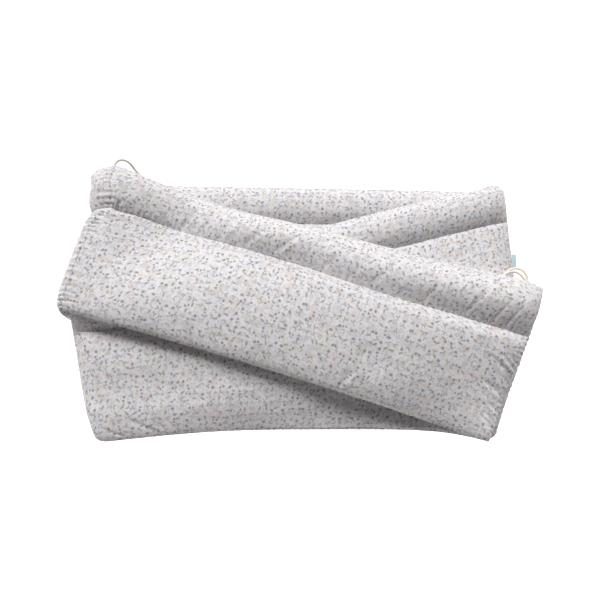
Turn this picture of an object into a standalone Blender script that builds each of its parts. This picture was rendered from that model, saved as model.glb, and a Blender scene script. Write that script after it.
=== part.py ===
"""Crib bumper: one quilted, padded strip of four panels, folded back and forth and laid flat in a stack.

Metres, +Z up. The stack rests on z = 0, its long side runs along X, and the narrow channel of each panel
is on its +Y side. The origin is at the middle of the base of the box around the strip and its label.
"""

import math
from collections import namedtuple

import bpy
import numpy as np

# Driving dimensions, in metres
PANEL_LONG = 0.70  # about the length of each filled panel
PANEL_ACROSS = 0.2425  # a filled panel from its narrow edge to its wide edge
NARROW_SHARE = 0.278  # where the quilting seam runs, as a share of that
SEAM_HALF = 0.0015  # half the thickness where the two skins are stitched together
GAP = 0.0020  # air between one layer and the next
BARE_FLOOR = 0.010  # a layer lying lower than this loses that air as it comes down to the floor
ROLL_CROWN = 1.12  # how much higher the narrow channel stands than the panel's own thickness
FLATTENED = 1.05  # presses a channel's underside flat: its section times this, cut off at full depth
END_TAPER = 0.036  # length over which the filling thins towards an end seam
WEB = 0.003  # cloth folded over at a hinge seam
CORNER_FADE = 0.060  # length over which a rounded corner's pull dies out
HINGE_RISE = 0.150  # length over which the top panel climbs to its far hinge
WRAP_SHARE = 0.14  # share of the bottom panel's length that climbs to the top panel's hinge
WRAP_HINGE_Z = (0.079, 0.099)  # height of that hinge at its narrow and wide edges
WRAP_BULGE_X = (-0.348, -0.386)  # how far out the climbing part bellies, at its narrow and wide edges
WRAP_THIN, WRAP_THIN_REACH = 0.64, 0.22  # its filling is pressed to that share, and is full again by that share
CORD_DIAMETER = 0.0045
CORD_SPACING = 0.011  # between the points of a cord's line
LABEL_OUT, LABEL_LONG, LABEL_THICK = 0.0080, 0.024, 0.0012
LABEL_AT, LABEL_TURN, LABEL_DROOP = (0.3574, 0.0715, 0.0279), -2.1, 12.0  # middle of its sewn edge; degrees
CENTRE_SHIFT = (-0.001603, -0.001)  # moves the plan so that its box is centred on the origin

# The panels in the order in which the strip runs. Corners are plan positions: "top" is the narrow-channel edge
# and "low" the wide-channel edge. bow_top and bow_low push the middle of those edges along +Y. flat and lean
# shape the low bow: 2 and 1 are an even arc, and more are a flatter one that leans towards the panel's end. reach
# and soften say how far the filling bridges beyond what it lies on, and how gently it comes down past it.
# round_start and round_end are the corner radii at its two ends.
Panel = namedtuple("Panel", "name thick start_top start_low end_top end_low bow_top bow_low flat lean"
                            " reach soften round_start round_end")
RIGHT_HINGE = ((0.387, 0.016), (0.291, -0.219))
LEFT_HINGE = ((-0.364, 0.010), (-0.320, -0.219))
WRAP_HINGE = ((-0.2995, 0.221), (-0.364, -0.026))
PANELS = {
    "second": Panel("second", 0.025, (0.352, 0.208), (0.361, -0.038), *LEFT_HINGE, 0.008, 0.0, 2.0, 1.0,
                    0.045, 0.022, 0.014, 0.010),
    "third": Panel("third", 0.025, *LEFT_HINGE, *RIGHT_HINGE, 0.0, 0.018, 4.0, 1.44,
                   0.028, 0.026, 0.010, 0.006),
    "top": Panel("top", 0.028, *RIGHT_HINGE, *WRAP_HINGE, -0.008, -0.005, 2.0, 1.0,
                 0.040, 0.030, 0.006, 0.0),
    "bottom": Panel("bottom", 0.024, (-0.325, 0.213), (-0.362, -0.034), (0.314, 0.202), (0.322, -0.032),
                    -0.006, 0.0, 2.0, 1.0, 0.0, 0.0, 0.0, 0.014),
}
STRIP_ORDER = ("second", "third", "top", "bottom")
STACK_ORDER = ("bottom", "second", "third", "top")

# Routes of the tie cords: out of a hinge seam's end, over in a short bight, and back in among the layers
TIE_ROUTES = {
    "tie_left": [
        (-0.3009, 0.2236, 0.0793), (-0.3018, 0.2300, 0.0800), (-0.2982, 0.2358, 0.0800),
        (-0.2915, 0.2380, 0.0785), (-0.2840, 0.2345, 0.0740), (-0.2775, 0.2280, 0.0670),
        (-0.2715, 0.2205, 0.0575), (-0.2650, 0.2125, 0.0480), (-0.2570, 0.2045, 0.0400),
        (-0.2470, 0.1970, 0.0335), (-0.2350, 0.1910, 0.0295), (-0.2210, 0.1870, 0.0282),
        (-0.2060, 0.1840, 0.0285), (-0.1900, 0.1815, 0.0288), (-0.1740, 0.1795, 0.0288),
    ],
    "tie_right_outer": [
        (0.3765, 0.0202, 0.0680), (0.3700, 0.0280, 0.0710), (0.3640, 0.0380, 0.0730),
        (0.3580, 0.0475, 0.0725), (0.3490, 0.0540, 0.0700), (0.3385, 0.0545, 0.0665),
        (0.3300, 0.0490, 0.0630), (0.3240, 0.0410, 0.0595), (0.3180, 0.0340, 0.0560),
        (0.3090, 0.0310, 0.0541), (0.2970, 0.0310, 0.0537), (0.2840, 0.0325, 0.0537),
        (0.2700, 0.0350, 0.0537), (0.2560, 0.0375, 0.0537), (0.2410, 0.0400, 0.0537),
    ],
    "tie_right_inner": [
        (0.3660, 0.0210, 0.0705), (0.3585, 0.0275, 0.0725), (0.3520, 0.0360, 0.0735),
        (0.3440, 0.0418, 0.0725), (0.3345, 0.0415, 0.0695), (0.3265, 0.0360, 0.0660),
        (0.3195, 0.0290, 0.0625), (0.3110, 0.0240, 0.0590), (0.3000, 0.0215, 0.0558),
        (0.2880, 0.0215, 0.0541), (0.2750, 0.0235, 0.0537), (0.2610, 0.0260, 0.0537),
        (0.2470, 0.0290, 0.0537),
    ],
}

# Facets of each panel: rows along it, columns across its two channels
ROWS, NARROW_COLUMNS, WIDE_COLUMNS = 34, 6, 8

# Height map that the panels are stacked on
CELL = 0.004
LIFT_REACH, LIFT_SOFTEN = 0.016, 0.008  # how a panel is lifted off a ridge that would cut into it
MAP_LOW, MAP_SIZE = (-0.48, -0.32), (240, 160)


def widened(height, reach):
    """The height map with each height carried outwards by reach."""
    steps = int(round(reach / CELL))
    wide = np.pad(height, steps, mode="edge")
    best = height.copy()
    for dy in range(-steps, steps + 1):
        for dx in range(-steps, steps + 1):
            if dx * dx + dy * dy <= steps * steps:
                rows = slice(steps + dy, steps + dy + height.shape[0])
                cols = slice(steps + dx, steps + dx + height.shape[1])
                best = np.maximum(best, wide[rows, cols])
    return best


def softened(height, soften):
    """The height map smoothed by a bell of that width."""
    width = int(3 * soften / CELL)
    bell = np.exp(-0.5 * (np.arange(-width, width + 1) * CELL / soften) ** 2)
    bell /= bell.sum()
    for axis in (0, 1):
        height = np.apply_along_axis(
            lambda line: np.convolve(np.pad(line, width, mode="edge"), bell, "valid"), axis, height)
    return height


def spread(height, reach, soften):
    """What a panel lies on, bridged and smoothed as padding does it, and no lower than the layers below."""
    base = softened(widened(height, reach), soften)
    for _ in range(2):
        base += softened(widened(np.maximum(height - base, 0), LIFT_REACH), LIFT_SOFTEN)
    return base


def read_map(height, x, y):
    """Heights at plan positions, between the map's cells."""
    col = np.clip((x - MAP_LOW[0]) / CELL, 0, MAP_SIZE[0] - 1.001)
    row = np.clip((y - MAP_LOW[1]) / CELL, 0, MAP_SIZE[1] - 1.001)
    c, r = col.astype(int), row.astype(int)
    u, v = col - c, row - r
    near = height[r, c] * (1 - u) + height[r, c + 1] * u
    far = height[r + 1, c] * (1 - u) + height[r + 1, c + 1] * u
    return near * (1 - v) + far * v


def lens(share, power):
    """A channel's section: 0 at its two seams and 1 at its crown, flatter for a higher power."""
    return np.sqrt(np.clip(1 - np.abs(2 * share - 1) ** power, 0, 1))


def smooth(x):
    """0 below 0, 1 above 1, and an even climb between them."""
    x = np.clip(x, 0, 1)
    return x * x * (3 - 2 * x)


def channel_halves(t):
    """Upper and lower half thickness across a panel, as shares of half its thickness."""
    narrow = t < NARROW_SHARE
    across = np.where(narrow, t / NARROW_SHARE, (t - NARROW_SHARE) / (1 - NARROW_SHARE))
    upper = np.where(narrow, (2 * ROLL_CROWN - 1) * lens(across, 2.2), lens(across, 3.6))
    lower = np.minimum(1, FLATTENED * np.where(narrow, lens(across, 3.0), lens(across, 5.0)))
    return upper, lower


def taper(distance):
    """Share of the full thickness at a distance from an end seam: a quarter of an ellipse."""
    return np.sqrt(np.clip(1 - (1 - np.clip(distance / END_TAPER, 0, 1)) ** 2, 0, 1))


def corner_pull(t, radius):
    """How far a rounded corner draws an end back, across the panel."""
    inward = np.minimum(t, 1 - t) * PANEL_ACROSS
    return radius * (1 - np.sqrt(np.clip(1 - np.clip(1 - inward / max(radius, 1e-9), 0, 1) ** 2, 0, 1)))


def plan(panel, s, t):
    """Plan positions on a panel, s along it and t across it."""
    corner = [np.array(c)[:, None, None] for c in panel[2:6]]
    point = corner[0] * (1 - s) * (1 - t) + corner[1] * (1 - s) * t
    point = point + corner[2] * s * (1 - t) + corner[3] * s * t
    low_bow = 1 - np.abs(2 * s**panel.lean - 1) ** panel.flat
    point[1] += 4 * s * (1 - s) * panel.bow_top * (1 - t) + low_bow * panel.bow_low * t
    inward = math.copysign(1, panel.end_top[0] - panel.start_top[0])
    for from_end, radius, way in ((s, panel.round_start, inward), (1 - s, panel.round_end, -inward)):
        point[0] += way * corner_pull(t, radius) * smooth(1 - from_end * PANEL_LONG / CORNER_FADE)
    return point


def lengths(panel, t):
    """Length of a panel along the lines of constant t."""
    return np.hypot(*(plan(panel, np.ones_like(t), t) - plan(panel, np.zeros_like(t), t)))


def wrap_hinge_z(t):
    """Height of the hinge between the top panel and the bottom one, across the strip."""
    return WRAP_HINGE_Z[0] + (WRAP_HINGE_Z[1] - WRAP_HINGE_Z[0]) * t


def wrap_path(s, t):
    """The bottom panel's middle surface: down from the top panel's hinge, then along the floor."""
    panel = PANELS["bottom"]
    floor_z = panel.thick / 2
    along = np.clip((s - WRAP_SHARE) / (1 - WRAP_SHARE), 0, 1)
    on_floor = np.array([*plan(panel, along, t), np.full_like(s * t, floor_z)])
    (hx, hy), (lx, ly) = WRAP_HINGE
    start = np.array([hx + (lx - hx) * t, hy + (ly - hy) * t, wrap_hinge_z(t)]) + 0 * on_floor
    landing = np.array([*plan(panel, 0 * s, t), floor_z + 0 * s * t])
    belly = WRAP_BULGE_X[0] + (WRAP_BULGE_X[1] - WRAP_BULGE_X[0]) * t + 0 * s
    out_high, out_low = start.copy(), landing.copy()
    out_high[0], out_low[0] = belly, belly
    u = np.clip(s / WRAP_SHARE, 0, 1) + 0 * t
    curve = (1 - u) ** 3 * start + 3 * (1 - u) ** 2 * u * out_high
    curve = curve + 3 * (1 - u) * u**2 * out_low + u**3 * landing
    return np.where(s < WRAP_SHARE, curve, on_floor)


def bottom_skins(s, t):
    """Upper and lower skins of the bottom panel, offset along the normals of its middle surface."""
    panel = PANELS["bottom"]
    mid = wrap_path(s, t)
    step = 1e-4
    ahead = wrap_path(np.minimum(s + step, 1), t) - wrap_path(np.maximum(s - step, 0), t)
    length = np.hypot(ahead[0], ahead[2])
    normal = np.array([-ahead[2] / length, 0 * length, ahead[0] / length])
    long = lengths(panel, t) / (1 - WRAP_SHARE)
    pressed = WRAP_THIN + (1 - WRAP_THIN) * smooth(s / WRAP_THIN_REACH)
    thin = taper(s * long) * taper((1 - s) * long) * pressed
    upper, lower = (np.maximum(share * thin * panel.thick / 2, SEAM_HALF) for share in channel_halves(t))
    return mid + normal * upper, mid - normal * lower


def resting_skins(panel, base, s, t):
    """Upper and lower skins of a panel that lies on the height map base."""
    x, y = plan(panel, s, t)
    rest = read_map(base, x, y)
    rest = rest + GAP * smooth(rest / BARE_FLOOR)
    long = lengths(panel, t)
    start_thin, end_thin = taper(s * long), taper((1 - s) * long)
    half = panel.thick / 2
    mid = rest + half
    if panel.name == "second":  # its far end is sewn to the panel above it
        mid += half * (1 - end_thin)
    if panel.name == "third":  # its near end is sewn to the panel below it, its far end to the one above
        mid += half * (start_thin - 1) + half * (1 - end_thin)
    if panel.name == "top":  # its near end is sewn to the panel below it, its far end to the climbing one
        mid += half * (start_thin - 1)
        mid = mid + (wrap_hinge_z(t) - mid) * smooth(1 - (1 - s) * long / HINGE_RISE)
    thin = start_thin * end_thin
    upper, lower = (np.maximum(share * thin * half, SEAM_HALF) for share in channel_halves(t))
    return np.array([x, y, mid + upper]), np.array([x, y, mid - lower])


def stack():
    """The base that each panel lies on, from the floor up."""
    height = np.zeros(MAP_SIZE[::-1])
    s = np.linspace(0, 1, 420)[:, None]
    t = np.linspace(0, 1, 160)[None, :]
    bases = {}
    for name in STACK_ORDER:
        panel = PANELS[name]
        if name == "bottom":
            skins = bottom_skins(s, t)
        else:
            bases[name] = spread(height, panel.reach, panel.soften)
            skins = resting_skins(panel, bases[name], s, t)
        for skin in skins:
            skin = skin[:, s[:, 0] > WRAP_SHARE] if name == "bottom" else skin
            col = ((skin[0] - MAP_LOW[0]) / CELL + 0.5).astype(int)
            row = ((skin[1] - MAP_LOW[1]) / CELL + 0.5).astype(int)
            np.maximum.at(height, (row, col), skin[2])
    return bases


def skins_of(name, bases, s, t):
    """Upper and lower skins of any panel."""
    return bottom_skins(s, t) if name == "bottom" else resting_skins(PANELS[name], bases[name], s, t)


def spaced(count, ends):
    """count + 1 values from 0 to 1, closer together near both ends for a higher ends."""
    u = np.linspace(0, 1, count + 1)
    return u - ends * np.sin(2 * math.pi * u) / (2 * math.pi)


def strip_mesh():
    """The whole strip as one closed skin: both faces of four panels, joined at three hinge seams."""
    bases = stack()
    s = spaced(ROWS, 0.75)[:, None]
    t = np.concatenate([spaced(NARROW_COLUMNS, 0.6) * NARROW_SHARE,
                        NARROW_SHARE + spaced(WIDE_COLUMNS, 0.8)[1:] * (1 - NARROW_SHARE)])[None, :]
    points, numbers = [], {}

    def add(position):
        points.append(tuple(float(x) for x in position))
        return len(points) - 1

    across = t.shape[1]
    for name in STRIP_ORDER:
        upper, lower = skins_of(name, bases, s, t)
        up, down = np.zeros((ROWS + 1, across), int), np.zeros((ROWS + 1, across), int)
        for i in range(ROWS + 1):
            free_end = (name == "second" and i == 0) or (name == "bottom" and i == ROWS)
            for j in range(across):
                if free_end or j in (0, across - 1):  # the skins meet at the sewn edge
                    up[i, j] = down[i, j] = add((upper[:, i, j] + lower[:, i, j]) / 2)
                else:
                    up[i, j], down[i, j] = add(upper[:, i, j]), add(lower[:, i, j])
        numbers[name] = up, down

    def hinge(lower_name, upper_name, outward):
        """Sews the end of one panel to the start of the next, which lies on it."""
        (low_up, low_down), (high_up, high_down) = numbers[lower_name], numbers[upper_name]
        for j in range(across):
            seam = np.maximum(points[low_up[-1, j]], points[high_down[0, j]])
            inner = add(seam)
            outer = inner if j in (0, across - 1) else add(seam + np.array([outward * WEB, 0, 0]))
            low_up[-1, j] = high_down[0, j] = inner
            low_down[-1, j] = high_up[0, j] = outer

    hinge("second", "third", -1)
    hinge("third", "top", 1)
    numbers["bottom"][0][0] = numbers["top"][1][-1]
    numbers["bottom"][1][0] = numbers["top"][0][-1]

    faces = []
    for name in STRIP_ORDER:
        runs_left = name in ("second", "top")
        for skin, faces_up in zip(numbers[name], (True, False)):
            for i in range(ROWS):
                for j in range(across - 1):
                    quad = [skin[i, j], skin[i + 1, j], skin[i + 1, j + 1], skin[i, j + 1]]
                    faces.append([int(k) for k in (quad if runs_left == faces_up else quad[::-1])])
    used = sorted({k for face in faces for k in face})
    order = {k: n for n, k in enumerate(used)}
    shift = np.array([*CENTRE_SHIFT, 0.0])
    mesh = bpy.data.meshes.new("padded_strip")
    mesh.from_pydata([np.array(points[k]) + shift for k in used], [],
                     [[order[k] for k in face] for face in faces])
    mesh.validate()
    mesh.shade_smooth()
    return mesh


def material(name, colour, roughness):
    """A plain cloth finish."""
    finish = bpy.data.materials.new(name)
    finish.use_nodes = True
    shader = finish.node_tree.nodes["Principled BSDF"]
    shader.inputs["Base Color"].default_value = (*colour, 1)
    shader.inputs["Roughness"].default_value = roughness
    shader.inputs["Metallic"].default_value = 0.0
    return finish


def place(name, data, finish):
    """A new object in the scene with its own material."""
    piece = bpy.data.objects.new(name, data)
    piece.data.materials.append(finish)
    bpy.context.scene.collection.objects.link(piece)
    return piece


def smooth_line(route, spacing):
    """Evenly spaced points on a smooth curve through a route's own points."""
    knots = np.array([2 * np.array(route[0]) - route[1], *route, 2 * np.array(route[-1]) - route[-2]])
    fine = []
    for a, b, c, d in zip(knots, knots[1:], knots[2:], knots[3:]):
        for u in np.linspace(0, 1, 24, endpoint=False):
            fine.append(0.5 * (2 * b + (c - a) * u + (2 * a - 5 * b + 4 * c - d) * u**2
                               + (3 * b - a - 3 * c + d) * u**3))
    fine = np.array([*fine, knots[-2]])
    along = np.concatenate([[0], np.cumsum(np.linalg.norm(np.diff(fine, axis=0), axis=1))])
    stops = np.linspace(0, along[-1], max(2, round(along[-1] / spacing)) + 1)
    return np.column_stack([np.interp(stops, along, fine[:, k]) for k in range(3)])


def cord_tube(name, route):
    """A cord's tube: a bevelled line with filled ends."""
    curve = bpy.data.curves.new(name, "CURVE")
    curve.dimensions = "3D"
    curve.bevel_depth = CORD_DIAMETER / 2
    curve.bevel_resolution = 2
    curve.use_fill_caps = True
    line = smooth_line(route, CORD_SPACING)
    spline = curve.splines.new("POLY")
    spline.points.add(len(line) - 1)
    for point, (x, y, z) in zip(spline.points, line):
        point.co = (x + CENTRE_SHIFT[0], y + CENTRE_SHIFT[1], z, 1)
    return curve


def label_mesh():
    """The side label: a short ribbon folded double, its two ends sewn into the end seam."""
    half, fold = LABEL_THICK / 2, 5
    outline = [(0.0, -half), *[(LABEL_OUT - half + half * math.cos(a), half * math.sin(a))
                               for a in np.linspace(-math.pi / 2, math.pi / 2, fold)], (0.0, half)]
    droop, turn = math.radians(LABEL_DROOP), math.radians(LABEL_TURN)
    points = []
    for side in (-LABEL_LONG / 2, LABEL_LONG / 2):
        for out, up in outline:
            x, z = out * math.cos(droop) + up * math.sin(droop), up * math.cos(droop) - out * math.sin(droop)
            points.append((LABEL_AT[0] + x * math.cos(turn) + side * math.sin(turn) + CENTRE_SHIFT[0],
                           LABEL_AT[1] + side * math.cos(turn) - x * math.sin(turn) + CENTRE_SHIFT[1],
                           LABEL_AT[2] + z))
    n = len(outline)
    faces = [tuple(range(n)), tuple(range(2 * n - 1, n - 1, -1))]
    faces += [(k, k + n, (k + 1) % n + n, (k + 1) % n) for k in range(n)]
    mesh = bpy.data.meshes.new("side_label")
    mesh.from_pydata(points, [], faces)
    mesh.validate()
    return mesh


for old in list(bpy.data.objects):
    bpy.data.objects.remove(old)

place("padded_strip", strip_mesh(), material("printed_cotton", (0.74, 0.72, 0.73), 0.9))
place("side_label", label_mesh(), material("woven_ribbon", (0.50, 0.60, 0.66), 0.7))
for tie, tie_route in TIE_ROUTES.items():
    place(tie, cord_tube(tie, tie_route), material("cotton_cord_" + tie, (0.80, 0.75, 0.64), 0.9))
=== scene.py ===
"""Looks of the folded crib bumper: printed cotton panels, cotton tie cords and a woven side label.

Metres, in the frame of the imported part: +X along the panels, +Y towards their narrow channels, +Z up.
"""

import math
from collections import namedtuple

import bmesh
import bpy
import numpy as np
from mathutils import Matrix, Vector


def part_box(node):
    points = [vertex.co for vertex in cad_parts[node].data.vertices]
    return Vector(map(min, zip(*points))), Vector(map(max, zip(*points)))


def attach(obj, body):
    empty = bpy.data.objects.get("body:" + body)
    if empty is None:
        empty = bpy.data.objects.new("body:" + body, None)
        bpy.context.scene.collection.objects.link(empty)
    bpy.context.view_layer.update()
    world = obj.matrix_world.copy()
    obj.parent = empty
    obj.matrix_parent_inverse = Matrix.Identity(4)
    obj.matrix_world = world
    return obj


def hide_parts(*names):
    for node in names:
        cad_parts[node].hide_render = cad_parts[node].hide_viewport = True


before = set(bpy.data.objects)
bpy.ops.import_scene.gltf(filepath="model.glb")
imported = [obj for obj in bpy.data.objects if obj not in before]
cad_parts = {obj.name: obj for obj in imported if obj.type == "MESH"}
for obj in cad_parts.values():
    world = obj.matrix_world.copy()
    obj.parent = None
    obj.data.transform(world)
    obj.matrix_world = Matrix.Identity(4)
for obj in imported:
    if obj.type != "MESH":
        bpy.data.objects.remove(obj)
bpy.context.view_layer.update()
bpy.ops.object.select_all(action="DESELECT")

# Camera: above the stack and a little to its front, as one looks down on folded bedding. It aims at its
# middle and takes in the whole of it with white board all round.
CAMERA_TARGET = Vector((-0.0016, -0.001, 0.053))
CAMERA_ELEVATION, CAMERA_DISTANCE, CAMERA_LENS, SENSOR = 78.0, 0.912, 33.9, 36.0

camera = bpy.data.objects.new("camera", bpy.data.cameras.new("camera"))
bpy.context.scene.collection.objects.link(camera)
camera.data.lens, camera.data.sensor_width = CAMERA_LENS, SENSOR
tilt = math.radians(CAMERA_ELEVATION)
camera.location = CAMERA_TARGET + CAMERA_DISTANCE * Vector((0, -math.cos(tilt), math.sin(tilt)))
camera.rotation_euler = (math.radians(90) - tilt, 0, 0)
bpy.context.scene.camera = camera
bpy.context.scene.view_settings.view_transform = "Standard"


def linear(code):
    """An sRGB hex colour as linear red, green, blue and alpha."""
    parts = [int(code[k:k + 2], 16) / 255 for k in (0, 2, 4)]
    return tuple(c / 12.92 if c <= 0.04045 else ((c + 0.055) / 1.055) ** 2.4 for c in parts) + (1.0,)


MATH, VECTOR_MATH, MIX = "ShaderNodeMath", "ShaderNodeVectorMath", "ShaderNodeMix"  # kinds of node used often


def add(tree, kind, *values, out=0, **settings):
    """Adds a node with its settings, gives its inputs values or links, and returns one of its outputs."""
    node = tree.nodes.new(kind)
    for key, value in settings.items():
        setattr(node, key, value)
    for socket, value in zip(node.inputs, values):
        if isinstance(value, bpy.types.NodeSocket):
            tree.links.new(value, socket)
        elif value is not None:
            socket.default_value = value
    return node.outputs[out]


def new_finish(name, colour, roughness, sheen):
    """A material with its Principled shader: (material, node tree, shader)."""
    finish = bpy.data.materials.new(name)
    finish.use_nodes = True
    shader = finish.node_tree.nodes["Principled BSDF"]
    shader.inputs["Base Color"].default_value = linear(colour)
    shader.inputs["Roughness"].default_value = roughness
    shader.inputs["Sheen Weight"].default_value = sheen
    shader.inputs["Sheen Roughness"].default_value = 0.5
    shader.inputs["Specular IOR Level"].default_value = 0.2
    return finish, finish.node_tree, shader


UNUSED = (None,) * 5  # a Mix node's sockets between its factor and its two colours
MERGE_DISTANCE = 1e-6


def grid_mesh(name, grids, wrap=False):
    """An object of quads from grids: a list of (points, uv, flipped), merged where points coincide."""
    points, uvs, faces = [], [], []
    start = 0
    for grid, uv, flipped in grids:
        rows, cols = grid.shape[1:]
        points.append(grid.reshape(3, -1).T)
        uvs.append(uv.reshape(2, -1).T)
        index = start + np.arange(rows * cols).reshape(rows, cols)
        if wrap:
            index = np.hstack([index, index[:, :1]])
        quad = np.stack([index[:-1, :-1], index[1:, :-1], index[1:, 1:], index[:-1, 1:]], axis=-1)
        quad = quad.reshape(-1, 4)
        faces.append(quad[:, ::-1] if flipped else quad)
        start += rows * cols
    points, uvs, faces = np.vstack(points), np.vstack(uvs), np.vstack(faces)
    mesh = bpy.data.meshes.new(name)
    mesh.vertices.add(len(points))
    mesh.vertices.foreach_set("co", points.astype(np.float32).ravel())
    mesh.loops.add(faces.size)
    mesh.loops.foreach_set("vertex_index", faces.astype(np.int32).ravel())
    mesh.polygons.add(len(faces))
    mesh.polygons.foreach_set("loop_start", np.arange(0, faces.size, 4, dtype=np.int32))
    mesh.polygons.foreach_set("loop_total", np.full(len(faces), 4, np.int32))
    mesh.update(calc_edges=True)
    layer = mesh.uv_layers.new(name="cloth")
    layer.data.foreach_set("uv", uvs[faces.ravel()].astype(np.float32).ravel())
    work = bmesh.new()
    work.from_mesh(mesh)
    bmesh.ops.remove_doubles(work, verts=work.verts, dist=MERGE_DISTANCE)
    work.to_mesh(mesh)
    work.free()
    mesh.shade_smooth()
    piece = bpy.data.objects.new(name, mesh)
    bpy.context.scene.collection.objects.link(piece)
    return piece


# Tie cords: cream cotton cord of three twisted strands, sewn into the ends of the hinge seams. Each leaves
# its seam, goes over in a short bight and back in among the layers, so no free end shows.
CORD_DIAMETER = 0.0045
CORD_TWIST = 0.013  # length of one turn of its strands
CORD_STRANDS, CORD_SIDES, CORD_STEP = 3, 24, 0.0011  # points round the cord, and distance between its rings
CURVE_STEPS = 24  # steps of the curve from one point of a route to the next
FIRST_SIDE = (0.3, 0.2, 1.0)  # any direction that no route starts in
STRAND_DEPTH = 0.16  # how deep the grooves between strands are, as a share of the radius
PLAN_SHIFT = np.array([-0.001603, -0.001, 0.0])  # centres the plan on the origin, as in the part
TIE_ROUTES = {
    "tie_left": [
        (-0.3010, 0.2145, 0.0765), (-0.3052, 0.2212, 0.0795), (-0.3023, 0.2277, 0.0805),
        (-0.2955, 0.2311, 0.0800), (-0.2879, 0.2305, 0.0775), (-0.2817, 0.2271, 0.0720),
        (-0.2784, 0.2230, 0.0640), (-0.2720, 0.2170, 0.0560), (-0.2650, 0.2110, 0.0478),
        (-0.2570, 0.2045, 0.0400), (-0.2470, 0.1970, 0.0335), (-0.2350, 0.1910, 0.0295),
        (-0.2210, 0.1870, 0.0282), (-0.2060, 0.1840, 0.0285), (-0.1900, 0.1815, 0.0288),
        (-0.1740, 0.1795, 0.0288),
    ],
    "tie_right_outer": [
        (0.3665, 0.0190, 0.0690), (0.3624, 0.0271, 0.0710), (0.3607, 0.0356, 0.0730),
        (0.3551, 0.0442, 0.0730), (0.3469, 0.0483, 0.0700), (0.3369, 0.0464, 0.0665),
        (0.3288, 0.0399, 0.0630), (0.3240, 0.0380, 0.0595), (0.3170, 0.0335, 0.0562),
        (0.3090, 0.0310, 0.0541), (0.2970, 0.0310, 0.0537), (0.2840, 0.0325, 0.0537),
        (0.2700, 0.0350, 0.0537), (0.2560, 0.0375, 0.0537), (0.2410, 0.0400, 0.0537),
    ],
    "tie_right_inner": [
        (0.3660, 0.0210, 0.0705), (0.3585, 0.0275, 0.0725), (0.3520, 0.0360, 0.0735),
        (0.3440, 0.0418, 0.0725), (0.3345, 0.0415, 0.0695), (0.3265, 0.0360, 0.0660),
        (0.3195, 0.0290, 0.0625), (0.3110, 0.0240, 0.0590), (0.3000, 0.0215, 0.0558),
        (0.2880, 0.0215, 0.0541), (0.2750, 0.0235, 0.0537), (0.2610, 0.0260, 0.0537),
        (0.2470, 0.0290, 0.0537),
    ],
}


def smooth_line(route, spacing):
    """Evenly spaced points on a smooth curve through a route's own points."""
    knots = np.array([2 * np.array(route[0]) - route[1], *route, 2 * np.array(route[-1]) - route[-2]])
    fine = []
    for a, b, c, d in zip(knots, knots[1:], knots[2:], knots[3:]):
        for u in np.linspace(0, 1, CURVE_STEPS, endpoint=False):
            fine.append(0.5 * (2 * b + (c - a) * u + (2 * a - 5 * b + 4 * c - d) * u**2
                               + (3 * b - a - 3 * c + d) * u**3))
    fine = np.array([*fine, knots[-2]])
    along = np.concatenate([[0], np.cumsum(np.linalg.norm(np.diff(fine, axis=0), axis=1))])
    stops = np.linspace(0, along[-1], max(2, round(along[-1] / spacing)) + 1)
    return np.column_stack([np.interp(stops, along, fine[:, k]) for k in range(3)])


def cord_finish():
    """Spun cotton: matt, warm cream as unbleached yarn, with painted shade in the grooves and painted
    highlight on the strands.
    """
    finish, tree, shader = new_finish("unbleached_cotton_cord", "E9E0CB", 0.85, 0.25)
    uv = add(tree, "ShaderNodeUVMap", uv_map="cloth")
    parts = add(tree, "ShaderNodeSeparateXYZ", uv)
    turn = add(tree, MATH, parts.node.outputs[0], 1 / CORD_TWIST, operation="MULTIPLY")
    phase = add(tree, MATH, parts.node.outputs[1], turn, operation="SUBTRACT")
    angle = add(tree, MATH, phase, 2 * math.pi * CORD_STRANDS, operation="MULTIPLY")
    crown = add(tree, MATH, angle, operation="COSINE")
    # painted shade and highlight: darker cream in the grooves between strands, lighter cream on their crowns
    share = add(tree, "ShaderNodeMapRange", crown, -1.0, 0.2, 0.0, 1.0)
    colour = add(tree, MIX, share, *UNUSED, linear("E2D8C2"), linear("F6F1E6"), data_type="RGBA", out=2)
    tree.links.new(colour, shader.inputs["Base Color"])
    fibres = add(tree, "ShaderNodeTexNoise", uv, None, 900.0, 2.0)
    bump = add(tree, "ShaderNodeBump", 0.5, 0.0004, None, fibres)
    tree.links.new(bump, shader.inputs["Normal"])
    return finish


def twisted_cord(name, route, finish):
    """A tube round a route whose section is three strands that turn as they go, closed at both ends."""
    line = smooth_line(route, CORD_STEP) + PLAN_SHIFT
    ahead = np.gradient(line, axis=0)
    ahead /= np.linalg.norm(ahead, axis=1)[:, None]
    side = np.cross(ahead[0], FIRST_SIDE)
    sides = []
    for direction in ahead:
        side = side - direction * (side @ direction)
        side = side / np.linalg.norm(side)
        sides.append(side)
    sides = np.array(sides)
    ups = np.cross(ahead, sides)
    length = np.concatenate([[0], np.cumsum(np.linalg.norm(np.diff(line, axis=0), axis=1))])
    around = np.arange(CORD_SIDES) / CORD_SIDES
    phase = 2 * math.pi * CORD_STRANDS * (around[None, :] - length[:, None] / CORD_TWIST)
    radius = CORD_DIAMETER / 2 * (1 - STRAND_DEPTH * (0.5 - 0.5 * np.cos(phase)) ** 2)
    radius[0] = radius[-1] = 0
    angle = 2 * math.pi * around[None, :, None]
    ring = radius[..., None] * (np.cos(angle) * sides[:, None] + np.sin(angle) * ups[:, None])
    points = (line[:, None] + ring).transpose(2, 0, 1)
    uv = np.array([np.broadcast_to(part, radius.shape) for part in (length[:, None], around[None, :])])
    piece = grid_mesh(name, [(points, uv, True)], wrap=True)
    piece.data.materials.append(finish)
    return piece, line, length[-1]


cord_cotton = cord_finish()
for tie, tie_route in TIE_ROUTES.items():
    tie_cord, tie_line, tie_length = twisted_cord(tie + "_cord", tie_route, cord_cotton)
    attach(tie_cord, "root")
    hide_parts(tie)

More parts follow.
